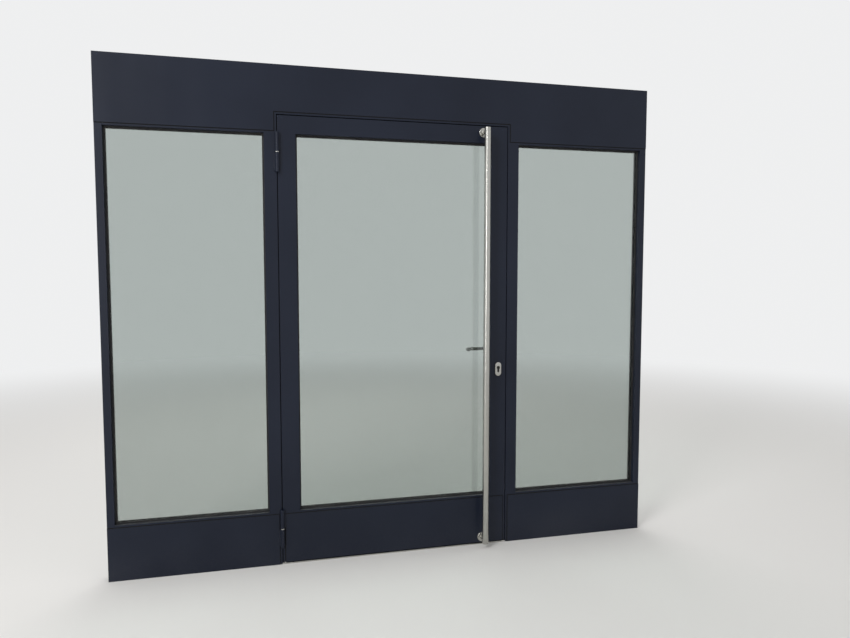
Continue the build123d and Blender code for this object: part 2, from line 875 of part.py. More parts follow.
with BuildPart() as cylinder_plates:
    with Locations((lock_x, 0, plate_middle)):
        add(oval_plate.part)
    mirror(about=Plane.XZ)
    with BuildSketch(outward(lock_x, cylinder_end, plug_height)):
        housing_outline(part_play)
    extrude(amount=2 * cylinder_end, mode=Mode.SUBTRACT)

with BuildPart() as lever_plate:
    with Locations((lock_x, 0, spindle_height)):
        add(oval_plate.part)
    with BuildSketch(outward(lock_x, inside, spindle_height)):
        Circle(lever_radius + part_play)
    extrude(amount=-plate_thickness, mode=Mode.SUBTRACT)

# Lever, spindle and follower turn together
lever_start = inside + lever_gap
lever_y = inside + lever_projection

with BuildPart() as inside_lever:
    with BuildLine():
        FilletPolyline((lock_x, lever_start, spindle_height), (lock_x, lever_y, spindle_height),
                       (lock_x - lever_length, lever_y, spindle_height),
                       (lock_x - lever_length, lever_y - lever_return, spindle_height),
                       radius=lever_bend)
    with BuildSketch(Plane(origin=(lock_x, lever_start, spindle_height), z_dir=(0, 1, 0))):
        Circle(lever_radius)
    sweep()
    with BuildSketch(outward(lock_x, lever_start, spindle_height)):
        Rectangle(spindle_size, spindle_size)
    extrude(amount=-spindle_embed, mode=Mode.SUBTRACT)

follower_half = case_thickness / 2 - case_wall - part_play
journal_half = case_thickness / 2 + journal_proud

with BuildPart() as follower:
    with BuildSketch(outward(lock_x, lock_plane, spindle_height)):
        Circle(follower_radius)
    extrude(amount=follower_half, both=True)
    with BuildSketch(outward(lock_x, lock_plane, spindle_height)):
        Circle(journal_radius)
    extrude(amount=journal_half, both=True)
    with BuildSketch(outward(lock_x, lock_plane, spindle_height)):
        with Locations((0, arm_reach / 2)):
            Rectangle(arm_width, arm_reach)
    extrude(amount=tail_thickness / 2, both=True)
    with BuildSketch(outward(lock_x, lock_plane, spindle_height)):
        Rectangle(spindle_size, spindle_size)
    extrude(amount=journal_half, both=True, mode=Mode.SUBTRACT)

with BuildPart() as spindle:
    with BuildSketch(outward(lock_x, lever_start + spindle_embed, spindle_height)):
        Rectangle(spindle_size, spindle_size)
    extrude(amount=lever_start + spindle_embed - lock_plane + journal_half)

# Latch bolt with a bevelled head, and a tail whose hook the follower's arm draws
latch_tip = leaf_side + latch_out
latch_back = latch_tip - latch_head_length
tail_end = latch_back - latch_tail_length
latch_outer = lock_plane - latch_thickness / 2
latch_inner = lock_plane + latch_thickness / 2

with BuildPart() as latch_bolt:
    with BuildSketch(Plane.XY.offset(latch_middle - latch_height / 2)):
        with BuildLine():
            Polyline((latch_back, latch_outer), (latch_tip, latch_outer),
                     (latch_tip, latch_outer + latch_nose), (leaf_side + latch_shoulder, latch_inner),
                     (latch_back, latch_inner), close=True)
        make_face()
    extrude(amount=latch_height)
    with BuildSketch(outward(tail_end, lock_plane, latch_middle)):
        with Locations((latch_tail_length / 2, 0)):
            Rectangle(latch_tail_length, latch_tail_height)
        with Locations((hook_width / 2, -hook_drop / 2)):
            Rectangle(hook_width, latch_tail_height + hook_drop)
    extrude(amount=tail_thickness / 2, both=True)

# Dead bolt with the talon above the cam, drawn in by half a throw from the talon's middle place
dead_tip = leaf_side - part_play
talon_x = lock_x - dead_throw / 2
talon_length = talon_space + 2 * talon_width
dead_bottom = dead_middle - dead_height / 2

with BuildPart() as dead_bolt:
    with BuildSketch(outward(dead_tip - dead_length / 2, lock_plane, dead_middle)):
        Rectangle(dead_length, dead_height)
    extrude(amount=dead_thickness / 2, both=True)
    with BuildSketch(outward(talon_x, lock_plane, dead_bottom)):
        with Locations((0, (talon_width - talon_drop) / 2)):
            Rectangle(talon_length, talon_width + talon_drop)
        with Locations((0, -talon_drop / 2)):
            Rectangle(talon_space, talon_drop, mode=Mode.SUBTRACT)
    extrude(amount=tail_thickness / 2, both=True)

pieces = {
    "left_jamb": left_jamb,
    "right_jamb": right_jamb,
    "frame_head": frame_head,
    "hinge_mullion": hinge_mullion,
    "lock_mullion": lock_mullion,
    "door_transom": door_transom,
    "left_transom": left_transom,
    "right_transom": right_transom,
    "sill_rails": sill_rails,
    "base_rails": base_rails,
    "threshold": threshold,
    "frame_cores": frame_cores,
    "header_sheet_outer": header_sheet_outer,
    "header_sheet_inner": header_sheet_inner,
    "kick_sheets_outer": kick_sheets_outer,
    "kick_sheets_inner": kick_sheets_inner,
    "left_glass": left_glass,
    "right_glass": right_glass,
    "sidelight_spacers": sidelight_spacers,
    "sidelight_gaskets": sidelight_gaskets,
    "sidelight_beads": sidelight_beads,
    "sidelight_blocks": sidelight_blocks,
    "frame_seal": frame_seal,
    "strike_keep": strike_keep,
    "keep_screws": keep_screws,
    "frame_knuckles": frame_knuckles,
    "hinge_pins": hinge_pins,
    "hinge_washers": hinge_washers,
    "leaf_knuckles": leaf_knuckles,
    "hinge_stile": hinge_stile,
    "lock_stile": lock_stile,
    "leaf_top_rail": leaf_top_rail,
    "leaf_glass_rail": leaf_glass_rail,
    "leaf_bottom_rail": leaf_bottom_rail,
    "leaf_kick_core": leaf_kick_core,
    "leaf_kick_sheet_outer": leaf_kick_sheet_outer,
    "leaf_kick_sheet_inner": leaf_kick_sheet_inner,
    "leaf_glass": leaf_glass,
    "leaf_spacer": leaf_spacer,
    "leaf_gaskets": leaf_gaskets,
    "leaf_beads": leaf_beads,
    "leaf_blocks": leaf_blocks,
    "bottom_seal": bottom_seal,
    "pull_bar": pull_bar,
    "bar_caps": bar_caps,
    "bar_rosettes": bar_rosettes,
    "lock_case": lock_case,
    "lock_faceplate": lock_faceplate,
    "lock_tabs": lock_tabs,
    "lock_screws": lock_screws,
    "cylinder_housing": cylinder_housing,
    "cylinder_plug": cylinder_plug,
    "cylinder_plates": cylinder_plates,
    "lever_plate": lever_plate,
    "inside_lever": inside_lever,
    "follower": follower,
    "spindle": spindle,
    "latch_bolt": latch_bolt,
    "dead_bolt": dead_bolt,
}

os.makedirs("parts", exist_ok=True)
for name, piece in pieces.items():
    piece.part.label = name
    export_step(piece.part, f"parts/{name}.step")
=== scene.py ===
import bmesh
import bpy
import numpy as np
from math import pi, radians
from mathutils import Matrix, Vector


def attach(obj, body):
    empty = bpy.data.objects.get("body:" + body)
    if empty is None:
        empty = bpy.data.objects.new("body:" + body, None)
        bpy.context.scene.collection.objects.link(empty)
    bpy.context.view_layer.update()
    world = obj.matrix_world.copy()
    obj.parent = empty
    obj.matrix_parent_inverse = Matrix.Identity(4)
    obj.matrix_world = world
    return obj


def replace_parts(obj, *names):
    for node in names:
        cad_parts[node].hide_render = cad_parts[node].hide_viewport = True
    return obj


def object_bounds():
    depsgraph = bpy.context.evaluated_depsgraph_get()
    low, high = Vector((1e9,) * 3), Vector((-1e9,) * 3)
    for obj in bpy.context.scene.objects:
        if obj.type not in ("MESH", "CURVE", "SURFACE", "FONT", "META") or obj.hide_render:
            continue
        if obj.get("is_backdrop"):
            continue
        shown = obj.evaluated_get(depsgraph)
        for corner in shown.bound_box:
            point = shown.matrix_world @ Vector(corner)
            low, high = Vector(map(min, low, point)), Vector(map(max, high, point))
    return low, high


# Glass entrance door with two sidelights. Units are metres: X across, Y inward, Z up from the floor.
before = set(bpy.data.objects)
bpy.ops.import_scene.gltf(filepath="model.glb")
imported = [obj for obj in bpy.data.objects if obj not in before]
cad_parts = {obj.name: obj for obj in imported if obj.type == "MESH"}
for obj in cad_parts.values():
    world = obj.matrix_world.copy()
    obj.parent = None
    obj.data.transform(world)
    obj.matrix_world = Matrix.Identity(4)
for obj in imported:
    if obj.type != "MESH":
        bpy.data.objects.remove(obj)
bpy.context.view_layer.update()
scene = bpy.context.scene
print("loaded", len(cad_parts), "nodes")


class Wire:
    # a shader socket that Python operators work on, each one adding a Math node
    def __init__(self, tree, socket=None):
        self.tree, self.socket = tree, socket

    def node(self, kind, settings=None, sockets=None, out=0):
        # a new node, its sockets linked to wires or set to plain values
        made = self.tree.nodes.new("ShaderNode" + kind)
        for name, value in (settings or {}).items():
            setattr(made, name, value)
        for name, value in (sockets or {}).items():
            if isinstance(value, Wire):
                self.tree.links.new(value.socket, made.inputs[name])
            else:
                made.inputs[name].default_value = value
        return Wire(self.tree, made.outputs[out] if made.outputs else None)

    def math(self, operation, one, other=0.0):
        # a Math node, whose second value stays 0 where its operation takes only one
        return self.node("Math", {"operation": operation}, {0: one, 1: other})

    def __add__(self, other):
        return self.math("ADD", self, other)

    def __sub__(self, other):
        return self.math("SUBTRACT", self, other)

    def __rsub__(self, other):
        return self.math("SUBTRACT", other, self)

    def __mul__(self, other):
        return self.math("MULTIPLY", self, other)

    def __truediv__(self, other):
        return self.math("DIVIDE", self, other)

    def __rtruediv__(self, other):
        return self.math("DIVIDE", other, self)

    __radd__, __rmul__ = __add__, __mul__

    def step(self, low, high):
        # 0 below low, 1 above high, smooth between them
        return self.node("MapRange", {"interpolation_type": "SMOOTHSTEP"},
                         {"Value": self, "From Min": low, "From Max": high})

    def tint(self, dark, light):
        # one colour where self is 0 and another where it is 1
        return self.node("Mix", {"data_type": "RGBA"}, {0: self, 6: dark, 7: light}, out=2)

    def stretched(self, x, y, z):
        # each coordinate times its own factor
        return self.node("VectorMath", {"operation": "MULTIPLY"}, {0: self, 1: (x, y, z)})

    def noise(self, scale, detail=2.0, roughness=0.5):
        # soft noise about 0.5, with scale swells to a metre
        return self.node("TexNoise", {}, {"Vector": self, "Scale": scale, "Detail": detail,
                                          "Roughness": roughness})

    def parts(self):
        # the three coordinates, or the three channels of a colour
        return [self.node("SeparateXYZ", {}, {0: self}, out=axis) for axis in range(3)]

    def cells(self, scale=1.0):
        # one number between 0 and 1 for each cell
        return self.node("TexVoronoi", {}, {"Vector": self, "Scale": scale}, out="Color").parts()[0]

    def bump(self, distance):
        # a height of self times the distance in metres
        return self.node("Bump", {}, {"Height": self, "Distance": distance, "Strength": 1.0})


def emptyTree(owner):
    # takes the nodes of a material or world away and gives the wire that new ones start from
    owner.use_nodes = True
    owner.node_tree.nodes.clear()
    return Wire(owner.node_tree)


def finishOf(name, recipe, **fixed):
    # recipe(place) gives what varies over the surface, fixed holds the shader's plain numbers
    material = bpy.data.materials.new(name)
    start = emptyTree(material)
    place = start.node("TexCoord", out="Object")
    sockets = {socket.replace("_", " "): value for socket, value in fixed.items()}
    shader = start.node("BsdfPrincipled", {}, {**sockets, **recipe(place)})
    start.node("OutputMaterial", {}, {"Surface": shader})
    return material


def toned(look, tone, relief):
    # colour and roughness follow one tone, from dark and smooth at 0 to light and rough at 1
    return {"Base Color": tone.tint(look["dark"], look["light"]),
            "Roughness": look["rough"] + tone * look["roughMore"], "Normal": relief.bump(look["depth"])}


# In the looks below a noise is (scale, detail, roughness) and an edge is (from, to).
# Paint: dark blue-grey semi-gloss, sprayed, a little dusty toward the floor, with a painted highlight along
# the ledges below the glass
paintLook = {"deep": (0.0072, 0.0102, 0.0205, 1), "pale": (0.0105, 0.0143, 0.027, 1), "gloss": 0.3,
             "cloud": (1.7, 4.0), "cloudEdge": (0.3, 0.7), "fine": (150, 3.0, 0.7),
             "wiping": (9, 9, 1.1), "wipe": (1.0, 3.0), "wipeEdge": (0.35, 0.7), "smear": 0.05,
             "peel": (330, 1.0), "peelDepth": 0.00003,
             "dust": (0.085, 0.084, 0.08, 1), "dustTop": 0.24, "dustCloud": 0.6, "dustEdge": (0.35, 0.75),
             "dustMost": 0.13, "dustRough": 0.22, "speckEdge": (0.69, 0.74), "speckMost": 0.09,
             "ledgeLow": (0.2724, 0.2728), "ledgeHigh": (0.2738, 0.2744), "ledgeDepth": (-0.0344, -0.0334),
             "ledgeHighlightVary": 0.3, "ledgeHighlightMost": 0.4}


def paintRecipe(place):
    # the mix toward the dust colour is the sum of the low dust, the specks and a painted highlight along the
    # top of the ledges
    look = paintLook
    depth, height = place.parts()[1:]
    cloud = place.noise(*look["cloud"])
    fine = place.noise(*look["fine"])
    wipe = place.stretched(*look["wiping"]).noise(*look["wipe"])  # upright wiping marks
    patches = (cloud * look["dustCloud"] + fine * (1 - look["dustCloud"])).step(*look["dustEdge"])
    dust = (1 - height.step(0.0, look["dustTop"])) * patches
    uneven = cloud * look["ledgeHighlightVary"] + (1 - look["ledgeHighlightVary"] / 2)
    # a lighter band along the top of the ledges below the glass: a painted highlight, not dust
    ledgeHighlight = height.step(*look["ledgeLow"]) * (1 - height.step(*look["ledgeHigh"]))
    ledgeHighlight = ledgeHighlight * depth.step(*look["ledgeDepth"]) * uneven
    specks = fine.step(*look["speckEdge"]) * look["speckMost"]
    dustAndLedgeHighlight = dust * look["dustMost"] + specks + ledgeHighlight * look["ledgeHighlightMost"]
    # the dust colour serves both the real dust and the painted highlight on the ledges
    colour = dustAndLedgeHighlight.tint(cloud.step(*look["cloudEdge"]).tint(look["deep"], look["pale"]), look["dust"])
    rough = look["gloss"] + wipe.step(*look["wipeEdge"]) * look["smear"] + dust * look["dustRough"]
    return {"Base Color": colour, "Roughness": rough,
            "Normal": place.noise(*look["peel"]).bump(look["peelDepth"])}


paint = finishOf("darkBluePaint", paintRecipe, Specular_IOR_Level=0.22)

# Glass: clear float glass with the faint green and the slight waves of a sealed double pane
glassLook = {"tint": (0.665, 0.7, 0.685, 1), "bend": 1.5, "waves": (1.6, 1.0), "waveDepth": 0.00022,
             "lampTint": (0.75, 0.79, 0.77, 1)}


def glassFinish():
    # a pane that bends and mirrors light, but lets the lamps straight through with a tint of its own
    material = bpy.data.materials.new("floatGlass")
    start = emptyTree(material)
    place = start.node("TexCoord", out="Object")
    waves = place.noise(*glassLook["waves"]).bump(glassLook["waveDepth"])
    pane = start.node("BsdfPrincipled", {}, {"Base Color": glassLook["tint"], "Roughness": 0.0,
                                             "IOR": glassLook["bend"], "Transmission Weight": 1.0,
                                             "Normal": waves})
    lampsThrough = start.node("BsdfTransparent", {}, {"Color": glassLook["lampTint"]})
    isShadow = start.node("LightPath", out="Is Shadow Ray")
    both = start.node("MixShader", {}, {0: isShadow, 1: pane, 2: lampsThrough})
    start.node("OutputMaterial", {}, {"Surface": both})
    return material


glass = glassFinish()

# Gasket rubber: matt black, with patches and grains of dust
rubberLook = {"clean": (0.008, 0.008, 0.009, 1), "dusty": (0.06, 0.058, 0.054, 1), "fine": (420, 3.0),
              "patch": (9, 4.0), "patchEdge": (0.45, 0.8), "patchMost": 0.35, "grainEdge": (0.6, 0.75),
              "grainMost": 0.2, "rough": 0.5, "roughMore": 0.3, "depth": 0.00004}


def rubberRecipe(place):
    # the dust is the sum of its patches and its grains
    look = rubberLook
    fine = place.noise(*look["fine"])
    patches = place.noise(*look["patch"]).step(*look["patchEdge"]) * look["patchMost"]
    dust = patches + fine.step(*look["grainEdge"]) * look["grainMost"]
    return {"Base Color": dust.tint(look["clean"], look["dusty"]),
            "Roughness": look["rough"] + fine * look["roughMore"], "Normal": fine.bump(look["depth"])}


rubber = finishOf("blackRubber", rubberRecipe, Specular_IOR_Level=0.4)

# Sealant: near black with a dull skin, a painted shade along the edges of the cladding sheets
sealantShadeLook = {"dark": (0.003, 0.003, 0.0035, 1), "light": (0.006, 0.006, 0.0065, 1), "skin": (90, 2.0),
            "rough": 0.6, "roughMore": 0.2}


def sealantShadeRecipe(place):
    # colour and roughness follow the noise of the skin
    skin = place.noise(*sealantShadeLook["skin"])
    return {"Base Color": skin.tint(sealantShadeLook["dark"], sealantShadeLook["light"]),
            "Roughness": sealantShadeLook["rough"] + skin * sealantShadeLook["roughMore"]}


seam = finishOf("sealantPaintedShade", sealantShadeRecipe, Specular_IOR_Level=0.15)

# Satin stainless: fine grinding marks run level, so they are short along Z and long across
steelLook = {"dark": (0.39, 0.385, 0.36, 1), "light": (0.51, 0.505, 0.475, 1), "grinding": (14, 14, 1600),
             "marks": (1.0, 3.0, 0.6), "marksEdge": (0.2, 0.85), "hands": (7, 2.0), "handsEdge": (0.45, 0.8),
             "rough": 0.17, "marksRough": 0.08, "handsRough": 0.03, "depth": 0.000008}


def steelRecipe(place):
    # the colour follows the marks, and the roughness is the sum of the marks and the places that hands touch
    look = steelLook
    marks = place.stretched(*look["grinding"]).noise(*look["marks"])
    hands = place.noise(*look["hands"]).step(*look["handsEdge"])
    return {"Base Color": marks.step(*look["marksEdge"]).tint(look["dark"], look["light"]),
            "Roughness": look["rough"] + marks * look["marksRough"] + hands * look["handsRough"],
            "Normal": marks.bump(look["depth"])}


steel = finishOf("satinStainless", steelRecipe, Metallic=1.0)

# Zinc plate: small spangles, each with a tone of its own
zincLook = {"dark": (0.2, 0.205, 0.21, 1), "light": (0.3, 0.305, 0.31, 1), "spangles": 110.0,
            "rough": 0.42, "roughMore": 0.16, "skin": (240, 2.0), "depth": 0.00003}


def zincRecipe(place):
    # the tone goes by spangle, and the relief follows the noise of the skin
    return toned(zincLook, place.cells(zincLook["spangles"]), place.noise(*zincLook["skin"]))


zinc = finishOf("zincPlate", zincRecipe, Metallic=1.0)

# Nickel of the lock cylinder, made near black to paint the shade of its recess, with fine turning marks
nickelShadeLook = {"dark": (0.028, 0.027, 0.026, 1), "light": (0.05, 0.048, 0.045, 1), "rough": 0.34,
              "roughMore": 0.14, "turning": (1100, 1100, 40), "marks": (1.0, 2.0), "depth": 0.00001}


def nickelShadeRecipe(place):
    # tone and relief follow the same stretched noise
    marks = place.stretched(*nickelShadeLook["turning"]).noise(*nickelShadeLook["marks"])
    return toned(nickelShadeLook, marks, marks)


nickel = finishOf("nickelPaintedShade", nickelShadeRecipe, Metallic=1.0)

# Spacer: mill aluminium with a row of vent holes toward the space between the panes, drawn as dark dots of
# painted shade
spacerLook = {"metal": (0.56, 0.56, 0.56, 1), "holeShade": (0.05, 0.05, 0.05, 1), "middle": 0.003,
              "pitch": 0.0035, "hole": 0.0006, "holeEdge": (0.6, 1.4), "grain": (300, 2.0),
              "rough": 0.34, "roughMore": 0.12, "depth": 0.00002}


def spacerRecipe(place):
    # a hole is where the squared distance from the middle of its pitch is below the squared radius
    look = spacerLook
    x, y, z = place.parts()
    along = (x + z) / look["pitch"]
    far = along.math("ABSOLUTE", along.math("FRACT", along) - 0.5)
    off = y.math("ABSOLUTE", y - look["middle"]) / look["pitch"]
    edge = [(look["hole"] / look["pitch"]) ** 2 * share for share in look["holeEdge"]]
    holes = 1 - (far * far + off * off).step(*edge)
    grain = place.noise(*look["grain"])
    # inside each hole the colour is a painted shade, not metal
    return {"Base Color": holes.tint(look["metal"], look["holeShade"]), "Metallic": 1 - holes,
            "Roughness": look["rough"] + grain * look["roughMore"], "Normal": grain.bump(look["depth"])}


spacerMetal = finishOf("spacerAluminium", spacerRecipe)

# Chip board: flat chips of several browns
boardLook = {"dark": (0.3, 0.2, 0.11, 1), "light": (0.55, 0.42, 0.26, 1), "chips": (150, 90, 60),
             "rough": 0.75, "roughMore": 0.15, "depth": 0.0002}


def boardRecipe(place):
    # tone and relief go by chip, a cell of stretched space
    chips = place.stretched(*boardLook["chips"]).cells()
    return toned(boardLook, chips, chips)


board = finishOf("chipBoard", boardRecipe)

# Setting blocks: green plastic, finely mottled
blockLook = {"dark": (0.02, 0.07, 0.035, 1), "light": (0.035, 0.12, 0.06, 1), "mottle": (180, 2.0),
             "rough": 0.45, "roughMore": 0.2, "depth": 0.00005}


def blockRecipe(place):
    # tone and relief follow the same noise
    mottle = place.noise(*blockLook["mottle"])
    return toned(blockLook, mottle, mottle)


blockPlastic = finishOf("greenPacker", blockRecipe)

finishes = {"paint": paint, "glass": glass, "gasket": rubber, "stainless": steel, "zinc_steel": zinc,
            "nickel": nickel, "spacer": spacerMetal, "board": board, "block": blockPlastic}
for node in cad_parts.values():
    for place in node.material_slots:
        look = finishes[place.material.name]
        place.link = "OBJECT"
        place.material = look
print("finishes", ", ".join(sorted(finishes)))

# New pieces: points merge over a distance wider than single precision at 2 m, and edges count as sharp from
# an angle in degrees
meshing = {"merge": 2e-6, "sharp": 40, "weldSharp": 60}


def gridFaces(rows, columns, joined=True):
    # quads between neighbours in a grid whose columns close on themselves, and its rows too where joined;
    # the point in a row and column has the number row times columns plus column
    row, column = np.meshgrid(np.arange(rows if joined else rows - 1), np.arange(columns), indexing="ij")
    nextRow, nextColumn = (row + 1) % rows, (column + 1) % columns
    corners = (row * columns + column, row * columns + nextColumn,
               nextRow * columns + nextColumn, nextRow * columns + column)
    return np.stack([corner.ravel() for corner in corners], axis=1)


def cappedGrid(points, rows, columns):
    # an open grid of rings with one face over its first ring and one over its last
    ends = [(points[:columns], [range(columns)]), (points[-columns:], [range(columns)])]
    return [(points, gridFaces(rows, columns, False))] + ends


def newPiece(name, shells, body, slotName, sharp=meshing["sharp"], look=None):
    # shells is a list of (points, faces), joined into one mesh whose faces are turned outward
    starts = np.cumsum([0] + [len(points) for points, faces in shells])
    points = np.concatenate([points for points, faces in shells])
    faces = [face for (own, quads), start in zip(shells, starts)
             for face in (np.array(quads) + start).tolist()]
    mesh = bpy.data.meshes.new(name)
    mesh.from_pydata(points.tolist(), [], faces)
    work = bmesh.new()
    work.from_mesh(mesh)
    bmesh.ops.remove_doubles(work, verts=work.verts, dist=meshing["merge"])
    bmesh.ops.recalc_face_normals(work, faces=work.faces)
    work.to_mesh(mesh)
    work.free()
    mesh.polygons.foreach_set("use_smooth", np.ones(len(mesh.polygons), bool))
    mesh.set_sharp_from_angle(angle=radians(sharp))
    mesh.materials.append(look or finishes[slotName])
    piece = bpy.data.objects.new(name, mesh)
    scene.collection.objects.link(piece)
    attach(piece, body)
    return piece


# Gaskets: a soft lip of rubber that rolls over from the profile to the glass, with one groove
gaskets = {"show": 0.0075, "under": 0.0079, "groove": 0.16, "grooveAt": 50, "grooveWide": 7, "square": 0.7,
           "steps": 14, "outer": (-0.015, -0.00902), "inner": (0.019, 0.01502)}
views = {"left": ((-1.385, -0.662), (0.273, 2.16)), "door": ((-0.509, 0.509), (0.273, 2.16)),
         "right": ((0.662, 1.385), (0.273, 2.16))}


def gasketProfile(back, front):
    # a quarter turn whose sine and cosine, each to the power of square, give a rounded square; a bell-shaped
    # dent takes both in once, and two points close the profile behind
    turn = np.linspace(0, 90, gaskets["steps"])
    dent = 1 - gaskets["groove"] * np.exp(-((turn - gaskets["grooveAt"]) / gaskets["grooveWide"]) ** 2)
    turn = np.radians(turn)
    out = -gaskets["show"] * np.sin(turn) ** gaskets["square"] * dent
    deep = front + (back - front) * np.cos(turn) ** gaskets["square"] * dent
    behind = np.array([[gaskets["under"], front], [gaskets["under"], back]])
    return np.concatenate([np.stack([out, deep], axis=1), behind])


def alongPath(path, profile, closed=False):
    # a profile follows (x, z) corners: its first number lies left of the way, its second is the depth, and
    # each corner is mitred along the sum of its two left directions over one plus the cosine between them
    path = np.array(path, float)
    ahead = np.roll(path, -1, axis=0) - path
    if not closed:
        ahead[-1] = ahead[-2]
    ahead /= np.linalg.norm(ahead, axis=1, keepdims=True)
    before = np.roll(ahead, 1, axis=0)
    if not closed:
        before[0] = ahead[0]
    both = ahead + before
    mitre = np.stack([-both[:, 1], both[:, 0]], axis=1) / (1 + (ahead * before).sum(axis=1, keepdims=True))
    flat = path[:, None] + mitre[:, None] * profile[None, :, :1]
    deep = np.broadcast_to(profile[:, 1], flat.shape[:2])
    points = np.stack([flat[..., 0], deep, flat[..., 1]], axis=2).reshape(-1, 3)
    if closed:
        return [(points, gridFaces(len(path), len(profile)))]
    return cappedGrid(points, len(path), len(profile))


def gasketShells(names):
    # a lip outside and one inside round each of the named panes
    shells = []
    for name in names:
        (left, right), (bottom, top) = views[name]
        rim = [(left, bottom), (left, top), (right, top), (right, bottom)]
        for side in ("outer", "inner"):
            shells += alongPath(rim, gasketProfile(*gaskets[side]), closed=True)
    return shells


sideGaskets = newPiece("sidelightGasketLips", gasketShells(("left", "right")), "frame", "gasket")
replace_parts(sideGaskets, "sidelight_gaskets")
leafGaskets = newPiece("leafGasketLips", gasketShells(("door",)), "leaf", "gasket")
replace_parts(leafGaskets, "leaf_gaskets")
print("gaskets", len(leafGaskets.data.polygons))

# Sealant: a concave fillet between the edge of each cladding sheet and the profile under it, whose near-black
# finish paints the shade along those edges.
# The edges are (x, z) corners, outside at -1 and inside at 1
sealant = {"high": 0.0018, "wide": 0.0042, "sink": 0.0003, "steps": 5, "face": 0.035}
sheetEdges = {
    "frame": {-1: [[(1.42, 2.173), (0.614, 2.173), (0.614, 2.265),
                    (-0.614, 2.265), (-0.614, 2.173), (-1.42, 2.173)],
                   [(-1.42, 0.26), (-0.614, 0.26), (-0.614, 0)],
                   [(0.614, 0), (0.614, 0.26), (1.42, 0.26)]],
              1: [[(1.42, 2.188), (0.599, 2.188), (0.599, 2.25),
                   (-0.599, 2.25), (-0.599, 2.188), (-1.42, 2.188)],
                  [(-1.42, 0.245), (-0.599, 0.245), (-0.599, 0)],
                  [(0.599, 0), (0.599, 0.245), (1.42, 0.245)]]},
    "leaf": {-1: [[(-0.584, 0.012), (-0.584, 0.26), (0.584, 0.26), (0.584, 0.012)]],
             1: [[(-0.569, 0.012), (-0.569, 0.245), (0.569, 0.245), (0.569, 0.012)]]}}


def sealantProfile(side):
    # wide times one minus the cosine and high times one minus the sine of a quarter turn run down the hollow
    # face from sheet to profile, and three points close it behind, sunk a little into both
    turn = np.linspace(0, pi / 2, sealant["steps"])
    out = sealant["wide"] * (1 - np.cos(turn))
    rise = sealant["high"] * (1 - np.sin(turn))
    sink = sealant["sink"]
    out = np.append(out, [sealant["wide"], -sink, -sink])
    rise = np.append(rise, [-sink, -sink, sealant["high"]])
    return np.stack([out, side * (sealant["face"] + rise)], axis=1)


for body, sides in sheetEdges.items():
    shells = [shell for side, paths in sides.items() for path in paths
              for shell in alongPath(path, sealantProfile(side))]
    newPiece(body + "Sealant", shells, body, "gasket", look=seam)

# Rebate seal: a foot in the corner of the frame and a curved lip that the leaf presses on
rebateSeal = {"seat": 0.601, "top": 2.252, "floor": 0.006, "front": -0.0147, "back": -0.0077, "foot": 0.003,
              "notch": 0.0006, "reach": 0.011, "thick": 0.0012, "thinner": 0.35, "bow": 0.0022,
              "bulge": 0.0005, "steps": 9}


def rebateProfile():
    # the lip bows back at its foot with a square and at its tip with a sixth power, and its back runs the
    # same way one thickness behind, evenly thinner toward the tip
    part = np.linspace(0, 1, rebateSeal["steps"])
    foot, reach = rebateSeal["foot"], rebateSeal["reach"]
    out = foot + (reach - foot) * part
    front = rebateSeal["front"] + rebateSeal["bow"] * (1 - part) ** 2 + rebateSeal["bulge"] * part ** 6
    behind = front + rebateSeal["thick"] * (1 - rebateSeal["thinner"] * part)
    lip = np.concatenate([np.stack([out, front], axis=1), np.stack([out, behind], axis=1)[::-1]])
    base = np.array([[foot, rebateSeal["back"]], [foot * 0.5, rebateSeal["back"] - rebateSeal["notch"]],
                     [0, rebateSeal["back"]], [0, rebateSeal["front"]], [foot, rebateSeal["front"]]])
    return np.concatenate([lip, base])


seat, sealTop = rebateSeal["seat"], rebateSeal["top"]
sealPath = [(seat, rebateSeal["floor"]), (seat, sealTop), (-seat, sealTop), (-seat, rebateSeal["floor"])]
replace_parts(newPiece("rebateSeal", alongPath(sealPath, rebateProfile()), "frame", "gasket"), "frame_seal")

# Weld beads along the hinge lugs, with the ripples of a hand-laid seam under the paint
welds = {"x": -0.599, "face": -0.035, "middles": (0.188, 2.069), "half": 0.097, "washer": 0.002,
         "inset": 0.005, "near": 0.003, "far": 0.014, "leg": 0.0021, "pitch": 0.0027, "ripple": 0.13,
         "sink": 0.0004, "step": 0.0006, "ends": 0.0012, "blunt": 1.02, "around": 6}


def weldShell(start, along, side, long):
    # quarter rounds whose radius swells and falls with a sine along the seam and goes down at both ends with
    # the root of blunt less a high power of the distance from the middle
    way = np.linspace(0, 1, int(long / welds["step"]))
    swell = 1 + welds["ripple"] * np.sin(2 * pi * way * long / welds["pitch"])
    taper = np.sqrt(np.clip(welds["blunt"] - np.abs(2 * way - 1) ** (long / welds["ends"]), 0, 1))
    turn = np.linspace(0, pi / 2, welds["around"])
    out = np.append(np.cos(turn), -welds["sink"] / welds["leg"])
    rise = np.append(np.sin(turn), -welds["sink"] / welds["leg"])
    size = (welds["leg"] * swell * taper)[:, None, None]
    points = (np.array(start) + (way * long)[:, None, None] * np.array(along)
              + size * (out[:, None] * np.array(side) + rise[:, None] * np.array((0, -1, 0))))
    return cappedGrid(points.reshape(-1, 3), len(way), len(out))


for body, side in (("frame", -1), ("leaf", 1)):
    shells = []
    nearX, farX = (welds["x"] + side * welds[end] for end in ("near", "far"))
    for middle in welds["middles"]:
        outer = middle + side * (welds["half"] - welds["inset"])
        inner = middle + side * (welds["washer"] + welds["inset"])
        low, high = min(outer, inner), max(outer, inner)
        shells += weldShell((farX, welds["face"], low), (0, 0, 1), (side, 0, 0), high - low)
        for z, up in ((low, -1), (high, 1)):
            shells += weldShell((nearX, welds["face"], z), (side, 0, 0), (0, 0, up), abs(farX - nearX))
    newPiece(body + "Welds", shells, body, "paint", sharp=meshing["weldSharp"])

